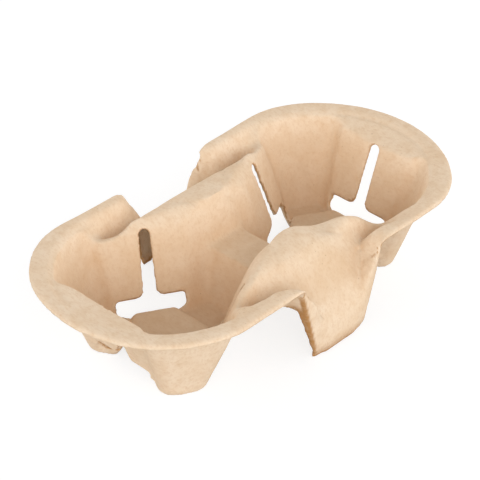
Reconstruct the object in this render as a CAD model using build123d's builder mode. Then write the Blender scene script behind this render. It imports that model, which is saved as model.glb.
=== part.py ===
from build123d import *

import os
from math import cos, radians, sin, tan

# Two-cup carrier moulded from paper pulp in one sheet.
# Millimetres. X runs along the carrier, Y across it and Z up.
# The origin is on the table under the middle of the carrier.

# Rim
length = 215.0
width = 108.7
rim_height = 44.1
rim_straight = 118.0
rim_overhang = 3.0
lip_drop = 2.8
lip_bevel = 0.8
sheet = 2.0

# Cup pockets
pocket_pitch = 105.2
panel_reach = 23.7
panel_knee = 12.0
panel_lean = 19.7
panel_overlap = 2.0
hub_height = 9.0
shelf_reach = 34.3
shelf_height = 40.5
mouth_radius = 48.5
mouth_end = 6.0
mouth_end_lean = 75.0

# Feet, which are the bottoms of the three troughs in each pocket
foot_reach = 31.3
centre_foot_reach = 33.6
foot_lean = 18.8
trough_half = 8.6
trough_lean = 14.6
foot_corner = 5.0
foot_inner = 21.5
foot_ramp = 30.0

# Grip slots
slot_top_width = 4.5
slot_bottom_width = 6.3
slot_height = 40.4
slot_corner = 2.0
slot_cut = 3.5
bar_start = 17.0
bar_end = 27.0
bar_half = 16.0
bar_bottom = 4.5
bar_top = 10.6
bar_corner = 3.5
bar_throat = 3.5
bar_shoulder = 1.0
bar_over_hub = 0.5

# Saddle between the pockets and the two wings beside it
saddle_height = 26.0
saddle_half = 13.9
saddle_length = 48.0
wing_height = 44.3
wing_slope = 12.1
wing_inner = 14.0
wing_half = 38.0
wing_side = 36.6
wing_root = 4.0
ridge_side = 34.6
wing_shelf_lean = 46.0
wing_shelf_half = 28.0
wing_shelf_start = 36.0
nose_reach = 44.8
nose_height = 47.0
nose_lean = 54.5
nose_turn = -9.9

# Hollows outside the wings and the notches in the rim
hollow_lean = 35.0
hollow_rim_side = 46.2
hollow_rim_lean = 54.0
hollow_end = 50.0
hollow_end_lean = 60.0
notch_half = 26.0
notch_lean = 32.4
notch_flare = 25.6
notch_round = 7.0

# Centre legs
leg_half = 15.6
leg_spread = 15.1
leg_bend = 8.0
leg_bend_depth = 1.5
leg_return = 1.6
leg_return_spread = 8.2
leg_open = 6.0
leg_toe = 4.0
leg_toe_lean = 20.0

top = 52.0
bottom = -6.0


def leaning(value, lean, rise):
    """Value of a sloping face after a rise, for a lean in degrees from the vertical."""
    return value + rise * tan(radians(lean))


def across(thickness, lean):
    """Level distance through a sheet that leans from the vertical."""
    return thickness / cos(radians(lean))


def block(inset, low, high, bevel=0):
    """Upright block with the carrier's outline: two straight sides and two elliptical ends."""
    half = rim_straight / 2
    side = width / 2 - inset
    end = length / 2 - half - inset
    with BuildPart() as solid:
        with BuildSketch(Plane.XY.offset(low)):
            with BuildLine():
                Line((-half, side), (half, side))
                EllipticalCenterArc((half, 0), end, side, start_angle=-90, arc_size=180)
                Line((half, -side), (-half, -side))
                EllipticalCenterArc((-half, 0), end, side, start_angle=90, arc_size=180)
            make_face()
        extrude(amount=high - low)
        if bevel:
            chamfer(faces().sort_by(Axis.Z)[-1].edges(), bevel)
    return solid.part


def panels(grow):
    """Space between the three panels of a pocket, above its raised floor."""
    with BuildPart() as space:
        for level in (panel_knee, top):
            reach = leaning(panel_reach, panel_lean, level - panel_knee) + across(grow, panel_lean)
            half = leaning(trough_half, trough_lean, level) + across(grow, trough_lean) - panel_overlap
            along = 2 * reach - half / tan(radians(30))
            with BuildSketch(Plane.XY.offset(level)):
                Polygon(*[Vector(along, side * half).rotate(Axis.Z, turn) for turn in (0, 120, 240)
                          for side in (-1, 1)], align=None)
        loft(ruled=True)
        extrude(faces().sort_by(Axis.Z)[0], amount=panel_knee - hub_height + grow)
    return space.part


def trough(reach, low, grow, flat_end):
    """Trough that runs down between two panels and ends as a foot, with a flat end or a round one."""
    walls = (foot_inner, -foot_ramp, -grow), (reach, foot_lean, grow), (trough_half, trough_lean, grow)
    inner, end, half = [[leaning(value, lean, level) + across(thickness, lean) for level in (low, top)]
                        for value, lean, thickness in walls]
    with BuildPart() as space:
        with BuildSketch(Plane.XZ):
            Polygon((inner[0], low), (end[0], low), (end[1], top), (inner[1], top), align=None)
        extrude(amount=width, both=True)
        with BuildSketch(Plane.YZ):
            Polygon((-half[0], low), (half[0], low), (half[1], top), (-half[1], top), align=None)
        extrude(amount=length, both=True, mode=Mode.INTERSECT)
        if not flat_end:
            with Locations((0, 0, low)):
                Cone(*end, top - low, align=(Align.CENTER, Align.CENTER, Align.MIN), mode=Mode.INTERSECT)
        upright = edges().filter_by(lambda edge: edge.bounding_box().size.Z > sheet)
        fillet(upright.sort_by(Axis.X)[-2:], foot_corner + grow)
    return space.part


def mouth(grow):
    """Shallow funnel above the panel and the feet at the end of the carrier, fading out towards +X."""
    lean = radians(mouth_end_lean)
    with BuildPart() as space:
        with BuildSketch(Plane.XZ):
            brim = mouth_radius + grow
            Polygon((0, shelf_height - grow), (shelf_reach, shelf_height - grow), (brim, rim_height - grow),
                    (brim, top), (0, top), align=None)
        revolve(axis=Axis.Z)
        end = (mouth_end + across(grow, mouth_end_lean), 0, rim_height)
        split(bisect_by=Plane(end, z_dir=(-cos(lean), 0, sin(lean))), keep=Keep.TOP)
    return space.part


def wing_shelf(grow):
    """Space above the two sloping faces between a panel and its wing, with the panel facing +X."""
    start, end = [leaning(shelf_reach, wing_shelf_lean, level - shelf_height) + across(grow, wing_shelf_lean)
                  for level in (wing_shelf_start, top)]
    with BuildPart() as space:
        with BuildSketch(Plane.XZ):
            Polygon((0, wing_shelf_start), (start, wing_shelf_start), (end, top), (0, top), align=None)
        extrude(amount=wing_shelf_half + grow, both=True)
        reach = nose_reach + across(grow, nose_lean)
        nose = Vector(reach, 0, nose_height).rotate(Axis.Z, nose_turn)
        facing = Vector(-cos(radians(nose_lean)), 0, sin(radians(nose_lean))).rotate(Axis.Z, nose_turn)
        split(bisect_by=Plane(nose, z_dir=facing), keep=Keep.TOP)
    return space.part


def pocket(grow, low):
    """Whole space of the pocket on the left; its foot on +X faces the middle of the carrier."""
    outer = trough(foot_reach, low, grow, False)
    shelf = wing_shelf(grow).rotate(Axis.Z, 60)
    with BuildPart() as space:
        add(panels(grow))
        add(trough(centre_foot_reach, low, grow, True))
        add(outer, rotation=(0, 0, 120))
        add(outer, rotation=(0, 0, -120))
        add(mouth(grow))
        add(shelf)
        add(shelf.mirror(Plane.XZ))
    return space.part


def hollow(grow):
    """Space of the hollow outside one wing, with the notch that opens it through the rim."""
    depth = (hollow_rim_side - ridge_side + across(grow, hollow_lean) + across(grow, hollow_rim_lean)) / (
        leaning(0, hollow_lean, 1) + leaning(0, hollow_rim_lean, 1))

    def inner(rise):
        return leaning(ridge_side, -hollow_lean, rise) - across(grow, hollow_lean)

    def outer(rise):
        return leaning(hollow_rim_side, hollow_rim_lean, rise) + across(grow, hollow_rim_lean)

    def end(rise):
        return leaning(hollow_end, hollow_end_lean, rise) + across(grow, hollow_end_lean)

    above_rim = top - rim_height
    under_rim = panel_knee - rim_height
    with BuildPart() as trench:
        with BuildSketch(Plane.YZ):
            Polygon((inner(-depth), rim_height - depth), (outer(above_rim), top), (inner(above_rim), top),
                    align=None)
        extrude(amount=end(above_rim), both=True)
        with BuildSketch(Plane.XZ):
            Polygon((-end(-depth), rim_height - depth), (end(-depth), rim_height - depth),
                    (end(above_rim), top), (-end(above_rim), top), align=None)
        extrude(amount=-width, mode=Mode.INTERSECT)
    with BuildPart() as notch:
        for side in (ridge_side, width / 2 + rim_overhang):
            flare = leaning(notch_half, notch_flare, width / 2 - side) + across(grow, notch_lean)
            low, edge = [leaning(flare, notch_lean, rise) for rise in (under_rim, -grow)]
            wide = edge + notch_round
            rim = rim_height - grow
            with BuildSketch(Plane.XZ.offset(-side)):
                Polygon((-low, panel_knee), (low, panel_knee), (edge, rim), (wide, rim), (wide, top),
                        (-wide, top), (-wide, rim), (-edge, rim), align=None)
                corners = vertices().group_by(Axis.Y)[1].sort_by(lambda corner: abs(corner.X))[:2]
                fillet(corners, notch_round - grow)
        loft(ruled=True)
        with BuildSketch(Plane.YZ):
            Polygon((inner(under_rim), panel_knee), (width, panel_knee), (width, top),
                    (inner(above_rim), top), align=None)
        extrude(amount=length, both=True, mode=Mode.INTERSECT)
    with BuildPart() as space:
        add(trench.part)
        add(notch.part)
    return space.part


def saddle(grow):
    """Space of the saddle, which runs from pocket to pocket between the wings."""
    low, high = [leaning(saddle_half, trough_lean, level - saddle_height) + across(grow, trough_lean)
                 for level in (saddle_height - grow, top)]
    with BuildPart() as space:
        with BuildSketch(Plane.YZ):
            Polygon((-low, saddle_height - grow), (low, saddle_height - grow), (high, top), (-high, top),
                    align=None)
        extrude(amount=saddle_length / 2, both=True)
    return space.part


def leg(inset):
    """Centre leg at the side of the carrier; inset by the sheet it is the space inside the leg."""
    with BuildPart() as solid:
        for level in (0, leg_toe, rim_height - sheet):
            half = leaning(leg_half, leg_spread, level)
            front = width / 2 - leaning(0, leg_toe_lean, max(leg_toe - level, 0))
            side = front - leg_bend_depth
            back = side - leaning(leg_return, leg_return_spread, level) - (leg_open if inset else 0)
            with BuildSketch(Plane.XY.offset(level)):
                Polygon((-half + leg_bend, front), (half - leg_bend, front), (half, side), (half, back),
                        (-half, back), (-half, side), align=None)
                offset(amount=-inset, kind=Kind.INTERSECTION)
        loft(ruled=True)
    return solid.part


def wings(drop):
    """Raised tops of the two wings, across the whole width between them."""
    inner, outer = [leaning(wing_height - drop, wing_slope, ridge_side - side)
                    for side in (wing_inner, wing_side)]
    with BuildPart() as solid:
        with BuildSketch(Plane.YZ):
            Polygon((-wing_side, rim_height - wing_root), (-wing_side, outer), (-wing_inner, inner),
                    (wing_inner, inner), (wing_side, outer), (wing_side, rim_height - wing_root), align=None)
        extrude(amount=wing_half, both=True)
    return solid.part


def grip_slot():
    """Opening in the panel that faces +X: an upright slot that stands on a wide bar."""
    lean = radians(panel_lean)
    face = Plane((panel_reach, 0, panel_knee), x_dir=(0, 1, 0), z_dir=(cos(lean), 0, -sin(lean)))
    rise = across(slot_height - panel_knee, panel_lean)
    low, high = bar_bottom - panel_knee, bar_top - panel_knee
    with BuildPart() as opening:
        with BuildSketch(face):
            Polygon((-slot_bottom_width / 2, low), (slot_bottom_width / 2, low), (slot_top_width / 2, rise),
                    (-slot_top_width / 2, rise), align=None)
            fillet(vertices().group_by(Axis.Y)[-1], slot_corner)
            with Locations((0, low)):
                Rectangle(2 * bar_half, high - low, align=(Align.CENTER, Align.MIN))
            level = vertices().filter_by_position(Axis.Y, high - bar_shoulder, high + bar_shoulder)
            fillet(level.sort_by(lambda corner: abs(corner.X))[:2], bar_throat)
            fillet(level.sort_by(lambda corner: abs(corner.X))[2:], bar_corner)
        extrude(amount=slot_cut, both=True)
        with BuildSketch(Plane.XY.offset(bar_bottom)):
            with Locations((bar_start, 0)):
                Rectangle(bar_end - bar_start, 2 * (bar_half - bar_shoulder), align=(Align.MIN, Align.CENTER))
            fillet(vertices(), bar_corner)
        extrude(amount=hub_height + bar_over_hub - bar_bottom)
    return opening.part


def spaces(grow, low):
    """Everything that is open above the sheet: two pockets, two hollows and the saddle."""
    left = pocket(grow, low).moved(Location((-pocket_pitch / 2, 0, 0)))
    back = hollow(grow)
    with BuildPart() as space:
        add(left)
        add(left.mirror(Plane.YZ))
        add(saddle(grow))
        add(back)
        add(back.mirror(Plane.XZ))
    return space.part


back_leg = leg(0)
back_leg_inside = leg(sheet)

with BuildPart() as above:
    add(block(0, rim_height - lip_drop, rim_height, lip_bevel))
    add(block(rim_overhang, bottom / 2, rim_height))
    add(back_leg)
    add(back_leg.mirror(Plane.XZ))
    add(wings(0))
    add(spaces(0, sheet), mode=Mode.SUBTRACT)

with BuildPart() as beneath:
    add(block(sheet, bottom, rim_height - sheet))
    add(back_leg, mode=Mode.SUBTRACT)
    add(back_leg.mirror(Plane.XZ), mode=Mode.SUBTRACT)
    add(back_leg_inside)
    add(back_leg_inside.mirror(Plane.XZ))
    add(wings(across(sheet, wing_slope)))
    add(spaces(sheet, 0), mode=Mode.SUBTRACT)

with BuildPart() as carrier_tray:
    add(above.part)
    add(beneath.part, mode=Mode.SUBTRACT)
    slot = grip_slot()
    for side in (-1, 1):
        with Locations((side * pocket_pitch / 2, 0, 0)):
            for turn in (60, 180, 300):
                add(slot, rotation=(0, 0, turn if side < 0 else turn + 180), mode=Mode.SUBTRACT)

carrier_tray.part.label = "carrier_tray"
os.makedirs("parts", exist_ok=True)
export_step(carrier_tray.part, "parts/carrier_tray.step")
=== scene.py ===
"""Looks for a two-cup carrier moulded from paper pulp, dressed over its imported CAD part."""

import logging
import math
from dataclasses import dataclass, field
from enum import Enum

import bmesh
import bpy
import numpy as np
from mathutils import Matrix, Vector


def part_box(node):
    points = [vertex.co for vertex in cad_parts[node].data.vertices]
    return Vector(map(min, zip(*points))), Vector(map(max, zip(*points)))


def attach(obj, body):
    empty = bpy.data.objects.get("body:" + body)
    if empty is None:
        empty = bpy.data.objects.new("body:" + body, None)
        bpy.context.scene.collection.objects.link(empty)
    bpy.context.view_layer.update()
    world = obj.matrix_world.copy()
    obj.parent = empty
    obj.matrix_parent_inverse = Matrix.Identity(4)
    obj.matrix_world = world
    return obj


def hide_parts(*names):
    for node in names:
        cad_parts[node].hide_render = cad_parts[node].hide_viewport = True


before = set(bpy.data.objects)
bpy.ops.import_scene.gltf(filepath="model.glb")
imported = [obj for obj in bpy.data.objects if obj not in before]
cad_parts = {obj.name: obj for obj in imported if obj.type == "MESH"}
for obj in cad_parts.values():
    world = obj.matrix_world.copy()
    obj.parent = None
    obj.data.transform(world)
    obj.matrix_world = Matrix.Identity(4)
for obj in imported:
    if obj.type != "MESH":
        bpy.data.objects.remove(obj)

log = logging.getLogger("carrier")

MM = 0.001
NODE = "carrier_tray"
BODY = "root"

X, Y, Z = range(3)

Colour = tuple[float, float, float]
Point = tuple[float, float, float]
Step = tuple[float, float]


def written_colour(red: int, green: int, blue: int) -> Colour:
    """Turns a colour as it is read off a screen into the linear values that a shader takes.

    Args:
        red: Red from 0 to 255.
        green: Green from 0 to 255.
        blue: Blue from 0 to 255.

    Returns:
        The three linear values.
    """
    def linear(value: float) -> float:
        """Undoes the screen's curve for one value from 0 to 1."""
        return value / 12.92 if value <= 0.04045 else ((value + 0.055) / 1.055) ** 2.4

    return linear(red / 255), linear(green / 255), linear(blue / 255)


def unit(vectors: np.ndarray) -> np.ndarray:
    """Scales each row of an array to length one."""
    return vectors / np.maximum(np.linalg.norm(vectors, axis=1, keepdims=True), 1e-12)


def smooth_step(step: Step, values: np.ndarray) -> np.ndarray:
    """Goes from 0 at the step's start to 1 at its end with level ends: 3t squared less 2t cubed.

    Args:
        step: Values where the step starts and ends, either way round.
        values: Where it is worked out.

    Returns:
        An array of the same shape, from 0 to 1.
    """
    start, end = step
    share = np.clip((values - start) / (end - start), 0, 1)
    return share * share * (3 - 2 * share)


@dataclass(frozen=True)
class Lattice:
    """A cloud of random values on a cubic lattice, read smoothly between its points."""

    wavelength: float
    seed: int

    def read(self, points: np.ndarray) -> np.ndarray:
        """Reads the cloud at some points, by a smooth blend of the eight lattice values round each.

        Args:
            points: Rows of x, y and z in metres.

        Returns:
            One value for each point, from -1 to 1.
        """
        place = (points - points.min(axis=0)) / self.wavelength
        cell = np.floor(place).astype(int)
        share = place - cell
        share = share * share * (3 - 2 * share)
        values = np.random.default_rng(self.seed).uniform(-1, 1, cell.max(axis=0) + 2)
        total = np.zeros(len(points))
        for corner in np.ndindex(2, 2, 2):
            step = np.array(corner)
            weight = np.prod(np.where(step, share, 1 - share), axis=1)
            total += weight * values[tuple((cell + step).T)]
        return total


class Relief(Enum):
    """Heights of the pulp's surface, each as its wavelength, its depth and a seed."""

    SWELL = (26 * MM, 0.16 * MM, 11)
    DIMPLE = (7 * MM, 0.06 * MM, 12)
    GRAIN = (2.2 * MM, 0.035 * MM, 13)
    TORN = (1.5 * MM, 0.09 * MM, 14)

    def height(self, points: np.ndarray) -> np.ndarray:
        """Height of this relief at some points.

        Args:
            points: Rows of x, y and z in metres.

        Returns:
            One height in metres for each point.
        """
        wavelength, depth, seed = self.value
        return depth * Lattice(wavelength, seed).read(points)


@dataclass
class Blur:
    """Sums carried by points, spread through space by a bell curve on a cubic grid."""

    low: np.ndarray
    high: np.ndarray
    reach: float
    spacing: float = 1.0 * MM
    margin: int = 6

    def __post_init__(self) -> None:
        """Works out how many cells the grid has along each axis."""
        cells = np.ceil((self.high - self.low) / self.spacing).astype(int)
        self.shape = tuple(cells + 2 * self.margin + 1)

    def _corners(self, points: np.ndarray) -> list[tuple[np.ndarray, np.ndarray]]:
        """Grid cells round each point, with the share that each of the eight corners takes.

        Args:
            points: Rows of x, y and z in metres.

        Returns:
            Eight pairs of flat cell numbers and shares.
        """
        place = (points - self.low) / self.spacing + self.margin
        place = np.clip(place, 0, np.array(self.shape) - 1.001)
        cell = np.floor(place).astype(int)
        share = place - cell
        pairs = []
        for corner in np.ndindex(2, 2, 2):
            step = np.array(corner)
            weight = np.prod(np.where(step, share, 1 - share), axis=1)
            pairs.append((np.ravel_multi_index(tuple((cell + step).T), self.shape), weight))
        return pairs

    def spread(self, points: np.ndarray, values: np.ndarray) -> np.ndarray:
        """Adds the points' values up on the grid and spreads them along each axis in turn.

        Args:
            points: Rows of x, y and z in metres.
            values: One row of values for each point.

        Returns:
            The spread sums, one grid for each column of values.
        """
        width = int(math.ceil(3 * self.reach / self.spacing))
        steps = np.arange(-width, width + 1) * self.spacing
        bell = np.exp(-steps ** 2 / (2 * self.reach ** 2))
        pairs = self._corners(points)
        size = int(np.prod(self.shape))
        grids = []
        for column in values.T:
            flat = np.zeros(size)
            for cells, weight in pairs:
                flat += np.bincount(cells, weight * column, minlength=size)
            grid = flat.reshape(self.shape)
            for axis in range(3):
                grid = self._along(grid, bell, axis)
            grids.append(grid)
        return np.stack(grids, axis=-1)

    @staticmethod
    def _along(grid: np.ndarray, bell: np.ndarray, axis: int) -> np.ndarray:
        """Sum of shifted copies of the grid along one axis, each weighted by the bell curve.

        Args:
            grid: The values.
            bell: The weights from one side to the other.
            axis: Which axis to spread along.

        Returns:
            The spread grid.
        """
        width = len(bell) // 2
        padded = np.pad(grid, [(width, width) if n == axis else (0, 0) for n in range(3)])
        total = np.zeros_like(grid)
        for shift, weight in enumerate(bell):
            total += weight * np.take(padded, range(shift, shift + grid.shape[axis]), axis=axis)
        return total

    def read(self, grid: np.ndarray, points: np.ndarray) -> np.ndarray:
        """Reads a spread grid at some points, in straight lines between its cells.

        Args:
            grid: What spread returned.
            points: Rows of x, y and z in metres.

        Returns:
            One row of values for each point.
        """
        flat = grid.reshape(-1, grid.shape[-1])
        total = np.zeros((len(points), grid.shape[-1]))
        for cells, weight in self._corners(points):
            total += weight[:, None] * flat[cells]
        return total


@dataclass(frozen=True)
class Settling:
    """A stretch of the sheet that has moved a little since it was moulded, in millimetres."""

    centre: Point
    reach: Point
    shift: Point

    def moved(self, points: np.ndarray) -> np.ndarray:
        """Shift of each point: the whole shift at the centre, fading out as a bell curve.

        Args:
            points: Rows of x, y and z in metres.

        Returns:
            One row of x, y and z for each point.
        """
        away = (points / MM - np.array(self.centre)) / np.array(self.reach)
        return np.exp(-0.5 * (away ** 2).sum(axis=1))[:, None] * np.array(self.shift) * MM


@dataclass(frozen=True)
class Groove:
    """A shallow line pressed into the sheet round the mouth of a pocket, in millimetres."""

    centre: float
    radius: float
    width: float
    depth: float
    level: Step

    def height(self, points: np.ndarray) -> np.ndarray:
        """Height of the line: a bell curve across it, all at or below 0.

        Args:
            points: Rows of x, y and z in metres.

        Returns:
            One height in metres for each point.
        """
        away = np.hypot(points[:, X] / MM - self.centre, points[:, Y] / MM) - self.radius
        high = smooth_step(self.level, points[:, Z] / MM)
        return -self.depth * MM * high * np.exp(-0.5 * (away / self.width) ** 2)


@dataclass(frozen=True)
class Zone:
    """A part of the tray that is the same on each side of its middle, with soft ends, in millimetres."""

    ends: tuple[tuple[int, Step], ...]

    def share(self, points: np.ndarray) -> np.ndarray:
        """Share of each point that lies in the zone: the product of smooth steps along the axes.

        Args:
            points: Rows of x, y and z in metres.

        Returns:
            One value for each point, from 0 to 1.
        """
        away = np.abs(points / MM)
        return np.prod([smooth_step(step, away[:, axis]) for axis, step in self.ends], axis=0)


@dataclass(frozen=True)
class PulpFinish:
    """Unbleached moulded pulp: pale brown, matt and mottled, with darker torn edges and painted shade deep
    in the pockets.
    """

    pale: Colour = written_colour(241, 219, 193)
    mid: Colour = written_colour(234, 207, 176)
    warm: Colour = written_colour(217, 180, 139)
    torn: Colour = written_colour(186, 138, 88)
    speck: Colour = written_colour(150, 112, 76)
    roughness: float = 0.92
    specular: float = 0.12
    cloud_step: Step = (0.30, 0.72)
    blotch_step: Step = (0.42, 0.75)
    blotch_share: float = 0.38
    fibre_step: Step = (0.48, 0.74)
    fibre_share: float = 0.58
    # Share of the warm colour in the painted shade at the bottom of the pockets.
    pocket_shade_share: float = 0.32
    fuzz_step: Step = (0.60, 0.80)
    fuzz_share: float = 0.25
    fleck_step: Step = (0.45, 0.60)
    fleck_share: float = 0.5
    torn_step: Step = (0.15, 0.55)
    torn_least: float = 0.55
    bump_strength: float = 0.55
    bump_depth: float = 0.35 * MM

    def material(self) -> bpy.types.Material:
        """Builds the pulp's material from layers of noise on Object coordinates.

        Returns:
            The material.
        """
        material = bpy.data.materials.new("pulp")
        material.use_nodes = True
        tree = Shading(material.node_tree)
        shader = tree.shader()
        shader.inputs["Roughness"].default_value = self.roughness
        shader.inputs["Specular IOR Level"].default_value = self.specular

        clouds = tree.noise(scale=38, detail=4, rough=0.6)
        blotch = tree.noise(scale=190, detail=3, rough=0.6)
        fibre = tree.noise(scale=900, detail=6, rough=0.7, stretch=(1, 0.45, 0.7))
        fuzz = tree.noise(scale=2600, detail=3, rough=0.6)

        colour = tree.mix(tree.ramp(clouds, self.cloud_step), self.pale, self.mid)
        colour = tree.mix(tree.ramp(blotch, self.blotch_step, high=self.blotch_share), colour, self.warm)
        colour = tree.mix(tree.ramp(fibre, self.fibre_step, high=self.fibre_share), colour, self.warm)
        # Painted shade: the pockets' upper faces turn darker and warmer the deeper they lie.
        pocket_shade = tree.ramp(tree.attribute("pocket_shade"), (0, 1), high=self.pocket_shade_share)
        colour = tree.mix(pocket_shade, colour, self.warm)
        colour = tree.mix(tree.ramp(fuzz, self.fuzz_step, high=self.fuzz_share), colour, self.torn)
        scattered = tree.ramp(clouds, self.fleck_step, high=self.fleck_share)
        flecks = tree.product(tree.specks(scale=330, size=0.10), scattered)
        colour = tree.mix(flecks, colour, self.speck)
        torn = tree.product(tree.attribute("torn"), tree.ramp(fibre, self.torn_step, low=self.torn_least))
        colour = tree.mix(torn, colour, self.torn)
        tree.link(colour, shader.inputs["Base Color"])

        height = tree.total((fibre, 0.55), (fuzz, 0.25), (blotch, 0.9))
        tree.link(tree.bump(height, self.bump_strength, self.bump_depth), shader.inputs["Normal"])
        return material


@dataclass
class Shading:
    """Short names for the shader nodes that the finishes are made of."""

    tree: bpy.types.NodeTree
    fleck_core: float = 0.4

    def node(self, kind: str, **settings: object) -> bpy.types.Node:
        """Adds a node.

        Args:
            kind: The node's type name.
            settings: Properties to set on it.

        Returns:
            The node.
        """
        made = self.tree.nodes.new(kind)
        for name, value in settings.items():
            setattr(made, name, value)
        return made

    def link(self, source: bpy.types.NodeSocket, target: bpy.types.NodeSocket) -> None:
        """Joins an output to an input."""
        self.tree.links.new(source, target)

    def shader(self) -> bpy.types.Node:
        """The material's own Principled shader."""
        return self.tree.nodes["Principled BSDF"]

    def place(self, stretch: Point) -> bpy.types.NodeSocket:
        """Object coordinates, scaled along each axis.

        Args:
            stretch: Scale along x, y and z.

        Returns:
            The socket that carries the point.
        """
        source = self.node("ShaderNodeTexCoord")
        mapping = self.node("ShaderNodeMapping")
        mapping.inputs["Scale"].default_value = stretch
        self.link(source.outputs["Object"], mapping.inputs["Vector"])
        return mapping.outputs["Vector"]

    def noise(self, scale: float, detail: float, rough: float,
              stretch: Point = (1, 1, 1)) -> bpy.types.NodeSocket:
        """A noise on Object coordinates.

        Args:
            scale: Waves in a metre.
            detail: Layers of finer noise.
            rough: Strength of the finer layers.
            stretch: Scale along x, y and z.

        Returns:
            The socket that carries the noise, from 0 to 1.
        """
        made = self.node("ShaderNodeTexNoise")
        made.inputs["Scale"].default_value = scale
        made.inputs["Detail"].default_value = detail
        made.inputs["Roughness"].default_value = rough
        self.link(self.place(stretch), made.inputs["Vector"])
        return made.outputs["Fac"]

    def specks(self, scale: float, size: float) -> bpy.types.NodeSocket:
        """Small round flecks, one in some of the cells of a scattered pattern.

        Args:
            scale: Cells in a metre.
            size: Radius of a fleck as a share of its cell.

        Returns:
            The socket that is 1 inside a fleck and 0 outside.
        """
        cells = self.node("ShaderNodeTexVoronoi")
        cells.inputs["Scale"].default_value = scale
        self.link(self.place((1, 1, 1)), cells.inputs["Vector"])
        return self.ramp(cells.outputs["Distance"], (size, self.fleck_core * size))

    def seen(self) -> bpy.types.NodeSocket:
        """Tells the rays that end in the camera, straight or by way of metal or glass.

        Returns:
            The socket that is 1 for them and 0 for the rays that light the scene.
        """
        rays = self.node("ShaderNodeLightPath")
        result = rays.outputs["Is Camera Ray"]
        for name in ("Is Glossy Ray", "Is Transmission Ray"):
            made = self.node("ShaderNodeMath", operation="ADD", use_clamp=True)
            self.link(result, made.inputs[0])
            self.link(rays.outputs[name], made.inputs[1])
            result = made.outputs[0]
        return result

    def attribute(self, name: str) -> bpy.types.NodeSocket:
        """The value that the piece's own attribute has at each point."""
        return self.node("ShaderNodeAttribute", attribute_name=name).outputs["Fac"]

    def ramp(self, value: bpy.types.NodeSocket, step: Step,
             low: float = 0, high: float = 1) -> bpy.types.NodeSocket:
        """Carries a value from one range to another, with no more than that range.

        Args:
            value: The socket to read.
            step: Values that become low and high.
            low: Result at the step's start.
            high: Result at the step's end.

        Returns:
            The socket of the result.
        """
        made = self.node("ShaderNodeMapRange", clamp=True)
        for name, number in zip(("From Min", "From Max", "To Min", "To Max"), (*step, low, high)):
            made.inputs[name].default_value = number
        self.link(value, made.inputs["Value"])
        return made.outputs["Result"]

    def mix(self, share: bpy.types.NodeSocket, first: object, second: object) -> bpy.types.NodeSocket:
        """Mixes two colours, each a socket or a fixed colour.

        Args:
            share: Socket that is 0 for the first and 1 for the second.
            first: One colour.
            second: The other.

        Returns:
            The socket of the mixed colour.
        """
        made = self.node("ShaderNodeMix", data_type="RGBA")
        self.link(share, made.inputs["Factor"])
        for name, colour in (("A", first), ("B", second)):
            target = next(s for s in made.inputs if s.name == name and s.type == "RGBA")
            if isinstance(colour, tuple):
                target.default_value = (*colour, 1)
            else:
                self.link(colour, target)
        return next(s for s in made.outputs if s.type == "RGBA")

    def product(self, first: bpy.types.NodeSocket, second: bpy.types.NodeSocket) -> bpy.types.NodeSocket:
        """Product of two values.

        Args:
            first: Socket of one value.
            second: Socket of the other.

        Returns:
            The socket of the product.
        """
        made = self.node("ShaderNodeMath", operation="MULTIPLY")
        self.link(first, made.inputs[0])
        self.link(second, made.inputs[1])
        return made.outputs[0]

    def total(self, *parts: tuple[bpy.types.NodeSocket, float]) -> bpy.types.NodeSocket:
        """Weighted sum of values.

        Args:
            parts: Pairs of a socket and its weight.

        Returns:
            The socket of the sum.
        """
        result = None
        for value, weight in parts:
            made = self.node("ShaderNodeMath", operation="MULTIPLY_ADD")
            made.inputs[1].default_value = weight
            made.inputs[2].default_value = 0
            self.link(value, made.inputs[0])
            if result is not None:
                self.link(result, made.inputs[2])
            result = made.outputs[0]
        return result

    def bump(self, height: bpy.types.NodeSocket, strength: float, distance: float) -> bpy.types.NodeSocket:
        """Turns a height into a bent normal.

        Args:
            height: Socket of the height.
            strength: Share of the bump that shows.
            distance: Depth of a height of 1, in metres.

        Returns:
            The socket of the normal.
        """
        made = self.node("ShaderNodeBump")
        made.inputs["Strength"].default_value = strength
        made.inputs["Distance"].default_value = distance
        self.link(height, made.inputs["Height"])
        return made.outputs["Normal"]


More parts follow.
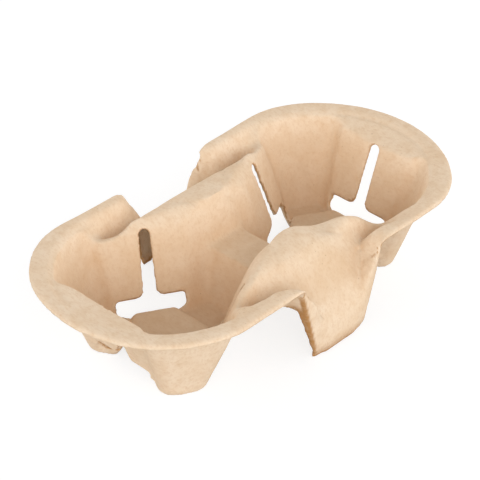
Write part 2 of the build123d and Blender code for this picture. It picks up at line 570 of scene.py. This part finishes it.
@dataclass
class PulpTray:
    """The whole carrier: one moulded sheet with two pockets, two wings, six feet and two legs.

    The sheet, the size of the mesh's faces and the reaches of the bell curves are in metres. The other
    lengths, steps and zones are in millimetres from the middle of the tray.
    """

    sheet: float = 2.0 * MM
    weld: float = 0.001 * MM
    grain: float = 1.03 * MM
    even_share: float = 0.5
    even_rounds: int = 3
    normal_reach: float = 1.2 * MM
    round_reach: float = 1.25 * MM
    wing_round_reach: float = 3.4 * MM

    side_gain: float = 4
    skin_step: Step = (0.3, 0.8)
    cut_step: Step = (0.25, 0.60)
    edge_step: Step = (0.04, 0.22)

    leg_front: float = 50.5
    leg_back: float = 40
    leg_top: float = 38
    leg_half: float = 15.6
    leg_spread: float = 0.27
    leg_wall: Step = (-1.0, 3.2)
    leg_upright: float = 0.7
    leg_face: Zone = Zone(((Y, (43, 48)), (Z, (9, 14))))
    leg_face_side: Step = (2.5, 6)
    brink_side: Step = (3.2, 2.2)
    brink_top: Step = (36, 28)
    rough_inner: Step = (1.3, 0.5)
    rough_outer: Step = (-3, -1)
    rough_top_front: Step = (40, 35)
    rough_top_back: Step = (32, 27)
    toe_edge: Step = (2.6, 1.4)
    # Darkens the front of each leg towards the floor, up to 8 mm above it.
    toe_band: Step = (8, 2)
    toe_band_share: float = 0.5

    rim_straight: float = 59
    lip_start: float = 35
    lip_level: float = 40.8
    lip_depth: float = 2.6
    lip_upright: float = 0.5

    wing: Zone = Zone(((X, (38, 30)), (Z, (26, 34)), (Y, (12, 18)), (Y, (50, 46))))
    shoulder: Zone = Zone(((X, (12, 15)), (X, (34, 30)), (Y, (37, 40)), (Y, (51.5, 49.5)), (Z, (29, 32))))
    # Painted shade: where the pockets darken, from none near the rim to full below 30 mm.
    pocket: Zone = Zone(((Z, (43.5, 30)), (Y, (50, 46))))

    settlings: tuple[Settling, ...] = (
        # The valleys between the wings and the lip.
        Settling(centre=(-36, -38.5, 40), reach=(9, 3.2, 60), shift=(0, 0, -7)),
        Settling(centre=(35, -38.5, 40), reach=(8, 3.2, 60), shift=(0, 0, -7)),
        Settling(centre=(-39, 42.6, 40), reach=(10, 2.6, 60), shift=(0, 0.8, -9)),
        Settling(centre=(38, 42.6, 40), reach=(10, 3.0, 60), shift=(0, 0.8, -11)),
        # The near leg.
        Settling(centre=(2, -56, 26), reach=(70, 10, 55), shift=(3.3, 0, 0)),
        # The rim.
        Settling(centre=(-78, 50, 44), reach=(17, 13, 13), shift=(-0.8, 1.3, 0)),
        Settling(centre=(-97, 32, 44), reach=(10, 12, 13), shift=(-1.0, 0.3, 0)),
        Settling(centre=(78, 50, 44), reach=(24, 14, 13), shift=(0.5, 1.8, 0)),
        Settling(centre=(103, 8, 44), reach=(12, 26, 13), shift=(1.4, 0.3, 0)),
        # The nose of the near wing and the ridges beside the wings.
        Settling(centre=(17, -26.5, 46), reach=(5, 6, 12), shift=(0, 0, -3.2)),
        Settling(centre=(29, -34, 44.5), reach=(5, 5, 12), shift=(0, 0, 1.4)),
        Settling(centre=(46, -39, 42), reach=(7, 6, 10), shift=(0, 0, -6)),
        Settling(centre=(-46, 39, 42), reach=(6, 5, 10), shift=(0, 0, -3)),
    )
    grooves: tuple[Groove, ...] = (
        Groove(centre=-52.6, radius=47.8, width=0.9, depth=0.55, level=(40.0, 41.0)),
        Groove(centre=52.6, radius=47.8, width=0.9, depth=0.55, level=(40.0, 41.0)),
    )
    finish: PulpFinish = field(default_factory=PulpFinish)

    def build(self) -> bpy.types.Object:
        """Makes the sheet from the moulded solid: fine mesh, soft ridges, settled shape and rough pulp.

        Returns:
            The finished piece.
        """
        piece = self._meshed()
        points, normals = self._read(piece.data)
        across = self._across(points, normals)
        facing = np.einsum("ij,ij->i", normals, across)
        cut = (1 - smooth_step(self.cut_step, np.abs(facing))) * (1 - self.shoulder.share(points))
        lip = self._lip(points)
        torn = np.maximum(cut * (1 - lip), self._rough(points))
        # Painted shade on the upper faces inside the pockets, stronger with depth.
        pocket_shade = np.where(facing > 0, self.pocket.share(points), 0)
        edge = np.maximum.reduce([cut, lip, self._brink(points)])
        points = self._softened(points, across, facing, edge)
        points += sum(settling.moved(points) for settling in self.settlings)
        points[:, Z] += sum(groove.height(points) for groove in self.grooves)
        self._write(piece.data, points)
        points, normals = self._read(piece.data)
        points += across * (Relief.SWELL.height(points) + Relief.DIMPLE.height(points))[:, None]
        points += normals * (Relief.GRAIN.height(points) + torn * Relief.TORN.height(points))[:, None]
        self._write(piece.data, points)
        for name, share in (("torn", torn), ("pocket_shade", pocket_shade)):
            values = piece.data.attributes.new(name, "FLOAT", "POINT")
            values.data.foreach_set("value", share.astype(np.float32))
        piece.data.polygons.foreach_set("use_smooth", np.ones(len(piece.data.polygons), bool))
        return piece

    def dress(self, piece: bpy.types.Object) -> None:
        """Gives the piece its finish and its body, and hides the node that it stands for.

        Args:
            piece: The finished piece.
        """
        piece.data.materials.clear()
        piece.data.materials.append(self.finish.material())
        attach(piece, BODY)
        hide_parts(NODE)

    def _meshed(self) -> bpy.types.Object:
        """Copies the node's mesh, merges its doubles and lays an even mesh of small faces over it.

        Returns:
            A new object with that mesh.
        """
        source = bpy.data.objects.new("source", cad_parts[NODE].data.copy())
        bpy.context.scene.collection.objects.link(source)
        merged = bmesh.new()
        merged.from_mesh(source.data)
        bmesh.ops.remove_doubles(merged, verts=merged.verts, dist=self.weld)
        merged.to_mesh(source.data)
        merged.free()
        remesh = source.modifiers.new("remesh", "REMESH")
        remesh.mode = "VOXEL"
        remesh.voxel_size = self.grain
        evened = source.modifiers.new("evened", "SMOOTH")
        evened.factor, evened.iterations = self.even_share, self.even_rounds
        evaluated = source.evaluated_get(bpy.context.evaluated_depsgraph_get())
        mesh = bpy.data.meshes.new_from_object(evaluated)
        mesh.name = "pulp_tray"
        bpy.data.objects.remove(source)
        piece = bpy.data.objects.new("pulp_tray", mesh)
        bpy.context.scene.collection.objects.link(piece)
        return piece

    @staticmethod
    def _read(mesh: bpy.types.Mesh) -> tuple[np.ndarray, np.ndarray]:
        """Reads a mesh's points and their normals.

        Args:
            mesh: The mesh.

        Returns:
            Rows of points in metres and rows of unit normals.
        """
        points = np.empty(3 * len(mesh.vertices))
        mesh.vertices.foreach_get("co", points)
        normals = np.empty(3 * len(mesh.vertices))
        mesh.vertices.foreach_get("normal", normals)
        return points.reshape(-1, 3), normals.reshape(-1, 3)

    @staticmethod
    def _write(mesh: bpy.types.Mesh, points: np.ndarray) -> None:
        """Puts moved points back into the mesh."""
        mesh.vertices.foreach_set("co", points.ravel())
        mesh.update()

    def _place(self, points: np.ndarray) -> tuple[np.ndarray, ...]:
        """Measures where each point is.

        The width of a leg grows evenly with the height, so the depth inside its side is half of that
        width less the distance from the middle.

        Args:
            points: Rows of points in metres.

        Returns:
            Distances from the middle along x, y and z and the depth inside a leg's side, in millimetres.
        """
        x, y, z = np.abs(points / MM).T
        return x, y, z, self.leg_half + self.leg_spread * z - x

    def _lip(self, points: np.ndarray) -> np.ndarray:
        """Tells the points of the rolled lip: 1 there and 0 elsewhere.

        The outline is two straight sides and two half ellipses, so the depth inside it is the share of
        an ellipse's radius that is left, times the half width.

        Args:
            points: Rows of points in metres.

        Returns:
            One value for each point.
        """
        x, y, z, _ = self._place(points)
        length, width, _ = np.array(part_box(NODE)[1]) / MM
        beyond = np.maximum(x - self.rim_straight, 0) / (length - self.rim_straight)
        depth = (1 - np.hypot(beyond, y / width)) * width
        return np.where((depth < self.lip_depth) & (z > self.lip_level) & (x > self.lip_start), 1.0, 0.0)

    def _rough(self, points: np.ndarray) -> np.ndarray:
        """Tells how rough and brown the sides and the toes of the two legs are, from 0 to 1.

        Args:
            points: Rows of points in metres.

        Returns:
            One value for each point.
        """
        _, y, z, inside = self._place(points)
        side = smooth_step(self.rough_inner, inside) * smooth_step(self.rough_outer, inside)
        side *= smooth_step(self.rough_top_back, z) * (y <= self.leg_front) + (
            smooth_step(self.rough_top_front, z) * (y > self.leg_front))
        # Besides the cut edge at the sole, the toe band darkens each leg's front towards the floor.
        toe = np.maximum(smooth_step(self.toe_edge, z), self.toe_band_share * smooth_step(self.toe_band, z))
        return np.maximum(side, toe * (inside > self.leg_wall[0])) * (y > self.leg_back)

    def _brink(self, points: np.ndarray) -> np.ndarray:
        """Tells how near a point is to the straight side of a leg, from 0 to 1.

        Args:
            points: Rows of points in metres.

        Returns:
            One value for each point.
        """
        _, y, z, inside = self._place(points)
        return smooth_step(self.brink_side, inside) * smooth_step(self.brink_top, z) * (y > self.leg_back)

    def _side(self, points: np.ndarray, normals: np.ndarray) -> np.ndarray:
        """Tells the upper side of the sheet from its underside: above 0 and below 0.

        The upper side looks up. On the front and the sides of a leg and on the lip it looks outwards.

        Args:
            points: Rows of points in metres.
            normals: Rows of unit normals.

        Returns:
            One value for each point, from -1 to 1.
        """
        x, y, z, inside = self._place(points)
        outwards = normals * np.sign(points)
        front = (y > self.leg_front) & (np.abs(normals[:, Y]) > self.leg_upright)
        wall = (inside > self.leg_wall[0]) & (inside < self.leg_wall[1])
        back = wall & (y > self.leg_back) & (z < self.leg_top) & (np.abs(normals[:, X]) > self.leg_upright)
        lip = (self._lip(points) > 0) & (np.abs(normals[:, Z]) < self.lip_upright)
        rim = np.clip(outwards[:, X] * (x > self.rim_straight) + outwards[:, Y], -1, 1)
        return np.select([front, back, lip], [outwards[:, Y], outwards[:, X], rim], normals[:, Z])

    def _across(self, points: np.ndarray, normals: np.ndarray) -> np.ndarray:
        """Direction through the sheet at each point, from its underside to its upper side.

        It is the mean of the upper normals and of the under ones turned round, spread through the
        sheet. A second round leaves out the cut edges, which lie along that direction.

        Args:
            points: Rows of points in metres.
            normals: Rows of unit normals.

        Returns:
            Rows of unit vectors.
        """
        low, high = points.min(axis=0), points.max(axis=0)
        blur = Blur(low, high, self.normal_reach)
        turned = normals * np.clip(self.side_gain * self._side(points, normals), -1, 1)[:, None]
        across = unit(blur.read(blur.spread(points, turned), points))
        share = smooth_step(self.skin_step, np.abs(np.einsum("ij,ij->i", normals, across)))
        return unit(blur.read(blur.spread(points, turned * share[:, None]), points))

    def _softened(self, points: np.ndarray, across: np.ndarray, facing: np.ndarray,
                  edge: np.ndarray) -> np.ndarray:
        """Rounds the ridges and valleys of the sheet and keeps its thickness and its edges.

        Each point goes across the sheet by the step from the sheet's middle there to the bell-weighted
        mean of the surface round it. On the wings and the fronts of the legs that mean reaches
        further. Near an edge the step fades out.

        Args:
            points: Rows of points in metres.
            across: Directions through the sheet.
            facing: Share of each normal that lies along that direction.
            edge: 1 for the points of a cut edge or of the lip and 0 for the others.

        Returns:
            The moved points.
        """
        low, high = points.min(axis=0), points.max(axis=0)
        middle = points - across * (facing * self.sheet / 2)[:, None]
        carried = np.column_stack([np.ones(len(points)), points, edge])
        steps = []
        for reach in (self.round_reach, self.wing_round_reach):
            blur = Blur(low, high, reach)
            sums = blur.read(blur.spread(points, carried), middle)
            step = sums[:, 1:4] / sums[:, :1] - middle
            near = smooth_step(self.edge_step, sums[:, 4] / sums[:, 0])
            steps.append(np.einsum("ij,ij->i", step, across) * (1 - near))
        _, _, _, inside = self._place(points)
        face = self.leg_face.share(points) * smooth_step(self.leg_face_side, inside)
        wing = np.maximum(self.wing.share(points), face)
        return points + across * (steps[0] * (1 - wing) + steps[1] * wing)[:, None]


@dataclass
class Viewpoint:
    """The camera, which looks at the carrier from its left front corner and from above."""

    azimuth: float = -47.398
    elevation: float = 35.207
    roll: float = 0.632
    distance: float = 948.8 * MM
    lens: float = 159.14
    target: Point = (3.43 * MM, 8.0 * MM, 25 * MM)

    def build(self) -> bpy.types.Object:
        """Makes the camera and gives it to the scene.

        Returns:
            The camera.
        """
        turn, rise = math.radians(self.azimuth), math.radians(self.elevation)
        back = Vector((math.sin(turn) * math.cos(rise), -math.cos(turn) * math.cos(rise), math.sin(rise)))
        data = bpy.data.cameras.new("viewpoint")
        data.lens = self.lens
        data.sensor_width = 36
        data.clip_start, data.clip_end = 0.05, 20
        camera = bpy.data.objects.new("viewpoint", data)
        bpy.context.scene.collection.objects.link(camera)
        aim = (-back).to_track_quat("-Z", "Y").to_matrix().to_4x4()
        level = Matrix.Rotation(math.radians(self.roll), 4, "Z")
        camera.matrix_world = Matrix.Translation(Vector(self.target) + back * self.distance) @ aim @ level
        bpy.context.scene.camera = camera
        return camera


@dataclass(frozen=True)
class Lamp:
    """A square soft box."""

    name: str
    place: Point
    width: float
    power: float

    def build(self) -> bpy.types.Object:
        """Makes the lamp and turns it towards the carrier.

        Returns:
            The lamp.
        """
        data = bpy.data.lights.new(self.name, "AREA")
        data.shape = "SQUARE"
        data.size = self.width
        data.energy = self.power
        lamp = bpy.data.objects.new(self.name, data)
        bpy.context.scene.collection.objects.link(lamp)
        lamp.location = self.place
        lamp.rotation_euler = (-Vector(self.place)).to_track_quat("-Z", "Y").to_euler()
        return lamp


@dataclass
class Studio:
    """A plain white floor under a sky that is brightest near the floor, with two soft boxes."""

    sky_low: float = 2.02
    sky_high: float = 0.15
    floor_colour: Colour = (0.60, 0.60, 0.60)
    floor_seen: Colour = (0.30, 0.30, 0.30)
    floor_glow: float = 0.78
    floor_side: float = 6.0
    lamps: tuple[Lamp, ...] = (
        Lamp(name="key", place=(-1.1, -1.5, 1.0), width=1.1, power=11),
        Lamp(name="fill", place=(1.6, -1.6, 1.0), width=1.2, power=3),
    )

    def build(self) -> None:
        """Makes the floor, the sky and the lamps."""
        self._floor()
        self._sky()
        for lamp in self.lamps:
            lamp.build()

    def _floor(self) -> None:
        """Lays the floor at the level of the soles."""
        half = self.floor_side / 2
        mesh = bpy.data.meshes.new("floor")
        corners = [(-half, -half, 0), (half, -half, 0), (half, half, 0), (-half, half, 0)]
        mesh.from_pydata(corners, [], [(0, 1, 2, 3)])
        floor = bpy.data.objects.new("floor", mesh)
        bpy.context.scene.collection.objects.link(floor)
        material = bpy.data.materials.new("floor")
        material.use_nodes = True
        tree = Shading(material.node_tree)
        shader = tree.shader()
        shader.inputs["Roughness"].default_value = 1
        shader.inputs["Specular IOR Level"].default_value = 0
        shader.inputs["Emission Color"].default_value = (1, 1, 1, 1)
        seen = tree.seen()
        tree.link(tree.mix(seen, self.floor_colour, self.floor_seen), shader.inputs["Base Color"])
        tree.link(tree.ramp(seen, (0, 1), high=self.floor_glow), shader.inputs["Emission Strength"])
        mesh.materials.append(material)

    def _sky(self) -> None:
        """Gives the world a light that is strong near the floor and weak overhead, seen as white."""
        world = bpy.data.worlds.new("sky")
        world.use_nodes = True
        bpy.context.scene.world = world
        tree = Shading(world.node_tree)
        background = world.node_tree.nodes["Background"]
        background.inputs["Color"].default_value = (1, 1, 1, 1)
        direction = tree.node("ShaderNodeSeparateXYZ")
        tree.link(tree.node("ShaderNodeTexCoord").outputs["Generated"], direction.inputs["Vector"])
        glow = tree.ramp(direction.outputs["Z"], (0, 1), low=self.sky_low, high=self.sky_high)
        strength = tree.node("ShaderNodeMix", data_type="FLOAT")
        tree.link(tree.seen(), strength.inputs["Factor"])
        tree.link(glow, strength.inputs["A"])
        strength.inputs["B"].default_value = 1
        tree.link(strength.outputs["Result"], background.inputs["Strength"])


def main() -> None:
    """Builds the carrier and its studio, and notes the size of the carrier's mesh."""
    logging.basicConfig(level=logging.INFO, format="%(name)s: %(message)s")
    bpy.context.scene.view_settings.view_transform = "Standard"
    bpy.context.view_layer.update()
    tray = PulpTray()
    piece = tray.build()
    tray.dress(piece)
    log.info("%s has %d points and %d faces", piece.name, len(piece.data.vertices), len(piece.data.polygons))
    Studio().build()
    Viewpoint().build()


if __name__ == "__main__":
    main()
